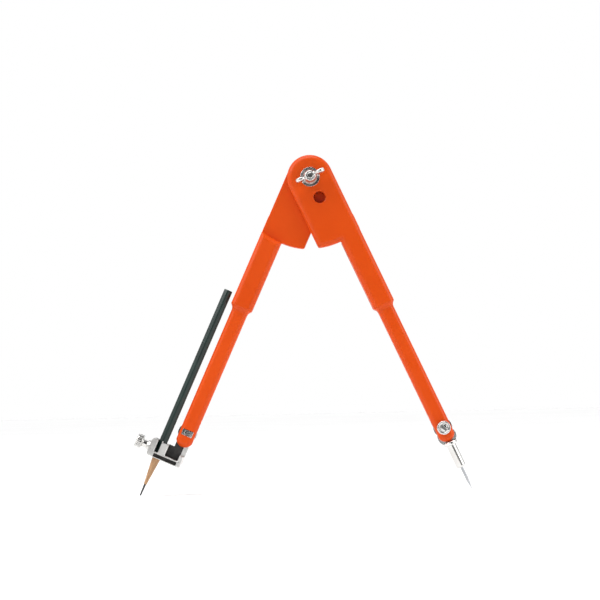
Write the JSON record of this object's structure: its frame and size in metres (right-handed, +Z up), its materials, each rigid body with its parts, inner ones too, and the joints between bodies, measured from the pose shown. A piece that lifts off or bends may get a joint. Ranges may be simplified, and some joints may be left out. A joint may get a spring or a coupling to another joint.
{
  "type": "drawing compass",
  "caption": "Large moulded-plastic pencil compass: lapped head with wing nut, two bevelled legs, a tilting steel needle point and a tilting clamp with a hexagonal pencil.",
  "frame": {"origin": "on the head pivot's axis, midway between the two lapped head plates", "axes": "+Z up, the two legs hang towards -Z and spread in the XZ plane, needle leg towards +X, pencil leg towards -X; -Y is the front, where the wing nut is"},
  "size_m": [0.2826, 0.0346, 0.2836],
  "materials": {
    "arm_plastic": "satin moulded orange",
    "nickel": "bright nickel plate",
    "steel": "satin",
    "fibre": "matte",
    "pencil_paint": "dark green lacquer, bare wood at the cone",
    "graphite": "dull"
  },
  "bodies": {
    "needle_arm": {"needle_arm": "arm_plastic", "needle_nut": "nickel"},
    "pencil_arm": {"pencil_arm": "arm_plastic", "pivot_bolt": "nickel", "rear_washer": "nickel", "friction_disc": "fibre", "pencil_nut": "nickel"},
    "pivot_washers": {"front_washer": "nickel", "lock_washer": "steel"},
    "wing_nut": {"wing_nut": "nickel"},
    "needle_foot": {"needle_holder": "nickel", "needle": "steel"},
    "needle_screw_washer": {"needle_washer": "steel"},
    "needle_screw": {"needle_thumb_screw": "nickel"},
    "pencil_foot": {"pencil_bracket": "nickel"},
    "pencil_screw_washer": {"pencil_washer": "steel"},
    "pencil_screw": {"pencil_thumb_screw": "nickel"},
    "clamp_pad": {"clamp_pad": "steel"},
    "clamp_screw": {"clamp_screw": "nickel"},
    "pencil": {"pencil_wood": "pencil_paint", "pencil_lead": "graphite"}
  },
  "joints": [
    {"name": "head_hinge", "type": "hinge", "parent": "needle_arm", "child": "pencil_arm", "pos_m": [0, 0, 0], "axis": [0, 1, 0], "range_deg": [-48.6, 61.4]},
    {"name": "pivot_washer_slide", "type": "slide", "parent": "pencil_arm", "child": "pivot_washers", "axis": [0, -1, 0], "range_m": [0, 0.0016]},
    {"name": "wing_nut_spin", "type": "hinge", "parent": "pivot_washers", "child": "wing_nut", "pos_m": [0, 0, 0], "axis": [0, -1, 0], "range_deg": [0, 721]},
    {"name": "needle_tilt", "type": "hinge", "parent": "needle_arm", "child": "needle_foot", "pos_m": [0.10691, 0, -0.21297], "axis": [0, 1, 0], "range_deg": [-45, 60]},
    {"name": "needle_washer_slide", "type": "slide", "parent": "needle_arm", "child": "needle_screw_washer", "axis": [0, -1, 0], "range_m": [0, 0.0014]},
    {"name": "needle_screw_spin", "type": "hinge", "parent": "needle_screw_washer", "child": "needle_screw", "pos_m": [0.10691, 0, -0.21297], "axis": [0, -1, 0], "range_deg": [0, 721]},
    {"name": "pencil_tilt", "type": "hinge", "parent": "pencil_arm", "child": "pencil_foot", "pos_m": [-0.10691, 0, -0.21297], "axis": [0, -1, 0], "range_deg": [-0.5, 60]},
    {"name": "pencil_washer_slide", "type": "slide", "parent": "pencil_arm", "child": "pencil_screw_washer", "axis": [0, 1, 0], "range_m": [0, 0.0014]},
    {"name": "pencil_screw_spin", "type": "hinge", "parent": "pencil_screw_washer", "child": "pencil_screw", "pos_m": [-0.10691, 0, -0.21297], "axis": [0, 1, 0], "range_deg": [0, 721]},
    {"name": "clamp_pad_slide", "type": "slide", "parent": "pencil_foot", "child": "clamp_pad", "axis": [-0.9114, 0, 0.4115], "range_m": [0, 0.0014]},
    {"name": "clamp_screw_spin", "type": "hinge", "parent": "clamp_pad", "child": "clamp_screw", "pos_m": [-0.1305, 0, -0.22657], "axis": [-0.9114, 0, 0.4115], "range_deg": [0, 721]},
    {"name": "pencil_slide", "type": "slide", "parent": "pencil_foot", "child": "pencil", "axis": [0.4115, 0, 0.9114], "range_m": [-0.015, 0.02]}
  ],
  "couplings": [
    {"joint": "wing_nut_spin", "follows": "pivot_washer_slide", "rad_per_m": 7854},
    {"joint": "needle_screw_spin", "follows": "needle_washer_slide", "rad_per_m": 8976},
    {"joint": "pencil_screw_spin", "follows": "pencil_washer_slide", "rad_per_m": 8976},
    {"joint": "clamp_screw_spin", "follows": "clamp_pad_slide", "rad_per_m": 8976}
  ]
}
